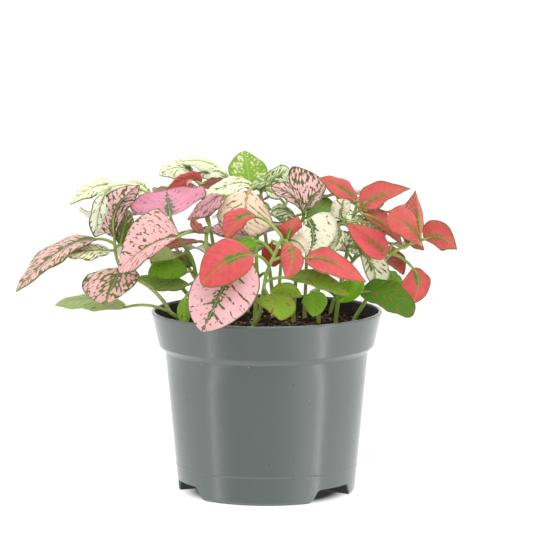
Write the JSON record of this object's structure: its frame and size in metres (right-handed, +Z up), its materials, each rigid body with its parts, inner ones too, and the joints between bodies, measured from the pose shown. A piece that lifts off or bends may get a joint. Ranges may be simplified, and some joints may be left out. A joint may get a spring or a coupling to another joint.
{
  "type": "potted polka dot plant",
  "caption": "Bushy mixed plant with pointed, speckled pink, white and red leaves in a round grey footed nursery pot.",
  "frame": {"origin": "under the middle of the whole plant's box, on the resting plane; the pot's axis stands about 15 mm to +X and 15 mm to -Y of it, because the foliage leans left and back", "axes": "+Z up, the front of the plant as pictured towards -Y, +X to the right as seen from the front"},
  "size_m": [0.2274, 0.1758, 0.1732],
  "materials": {
    "pot_plastic": "satin",
    "soil": "matte",
    "pink_foliage": "satin",
    "white_foliage": "satin",
    "red_foliage": "satin"
  },
  "bodies": {
    "root": {"pot": "pot_plastic", "soil": "soil", "pink_stem_1": "pink_foliage", "pink_stem_2": "pink_foliage", "pink_stem_3": "pink_foliage", "pink_stem_4": "pink_foliage", "pink_stem_5": "pink_foliage", "pink_stem_6": "pink_foliage", "pink_stem_7": "pink_foliage", "white_stem_1": "white_foliage", "white_stem_2": "white_foliage", "white_stem_3": "white_foliage", "white_stem_4": "white_foliage", "white_stem_5": "white_foliage", "red_stem_1": "red_foliage", "red_stem_2": "red_foliage", "red_stem_3": "red_foliage", "red_stem_4": "red_foliage", "red_stem_5": "red_foliage"}
  },
  "joints": []
}
